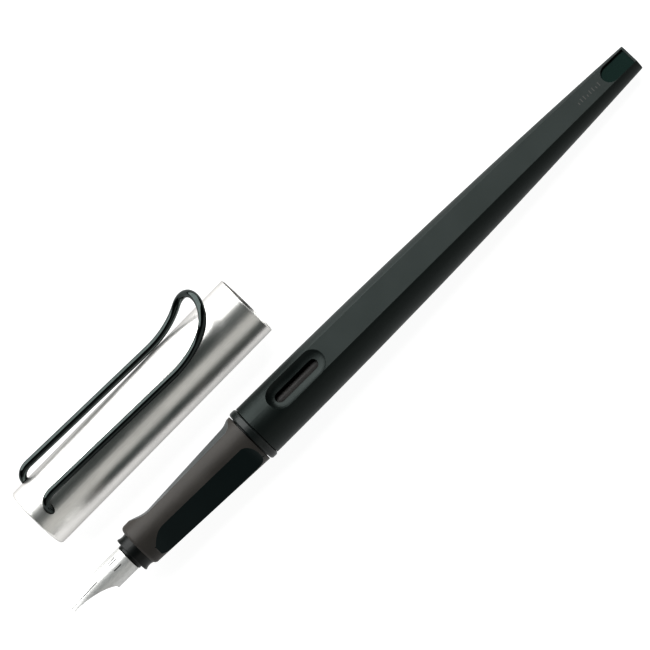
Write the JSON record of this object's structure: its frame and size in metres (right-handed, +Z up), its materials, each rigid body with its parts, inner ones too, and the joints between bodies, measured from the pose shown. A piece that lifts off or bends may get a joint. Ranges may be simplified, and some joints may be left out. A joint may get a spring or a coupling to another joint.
{
  "type": "cartridge calligraphy pen",
  "caption": "Long tapered cartridge calligraphy pen with a broad square steel nib, shaped grip and ink window, with its pulled-off metal cap and wire clip beside it.",
  "frame": {"origin": "centre of the bounding box, on the surface that the pen and the cap lie on", "axes": "+X along the pen from nib to tail, +Z up, +Y from the pen towards the cap that lies beside it"},
  "size_m": [0.1622, 0.0366, 0.0205],
  "materials": {
    "matte_black_plastic": "fine matt black moulding",
    "gloss_black_plastic": "polished black",
    "smoky_grip_plastic": "satin smoky brown-grey",
    "section_black_plastic": "satin black",
    "feed_black_plastic": "black ABS",
    "polished_steel": "polished stainless steel",
    "cartridge_plastic": "dark translucent polyethylene",
    "ink": "blue-black liquid",
    "satin_aluminium": "satin anodised",
    "liner_plastic": "plain black moulding",
    "black_chrome_wire": "dark bright plated wire"
  },
  "bodies": {
    "barrel_body": {"barrel": "matte_black_plastic", "tail_plug": "gloss_black_plastic"},
    "ring_body": {"cap_snap_ring": "gloss_black_plastic"},
    "section_body": {"grip": "smoky_grip_plastic", "section_core": "section_black_plastic", "feed": "feed_black_plastic"},
    "nib_body": {"nib": "polished_steel"},
    "cartridge_body": {"cartridge_shell": "cartridge_plastic", "cartridge_ball": "cartridge_plastic", "ink": "ink"},
    "cap_body": {"cap_tube": "satin_aluminium", "cap_finial": "gloss_black_plastic", "cap_liner": "liner_plastic"},
    "clip_body": {"clip": "black_chrome_wire"}
  },
  "joints": [
    {"name": "section_advance", "type": "slide", "parent": "barrel_body", "child": "ring_body", "axis": [-0.9995, 0, 0.0315], "range_m": [0, 0.006]},
    {"name": "section_turn", "type": "hinge", "parent": "ring_body", "child": "section_body", "pos_m": [-0.03825, -0.0119, 0.00666], "axis": [-0.9995, 0, 0.0315], "range_deg": [0, 1441]},
    {"name": "nib_pull", "type": "slide", "parent": "section_body", "child": "nib_body", "axis": [-0.9995, 0, 0.0315], "range_m": [0, 0.012]},
    {"name": "cartridge_pull", "type": "slide", "parent": "section_body", "child": "cartridge_body", "axis": [0.9995, 0, -0.0315], "range_m": [0, 0.006]},
    {"name": "cap_pull", "type": "slide", "parent": "barrel_body", "child": "cap_body", "axis": [1, 0, 0], "range_m": [-0.075, 0]},
    {"name": "clip_flex", "type": "hinge", "parent": "cap_body", "child": "clip_body", "pos_m": [-0.06985, 0.01064, 0.01184], "axis": [0, -0.9205, 0.3907], "range_deg": [0, 4], "stiffness_Nm_per_rad": 2}
  ],
  "couplings": [
    {"joint": "section_turn", "follows": "section_advance", "rad_per_m": 4188.8}
  ]
}
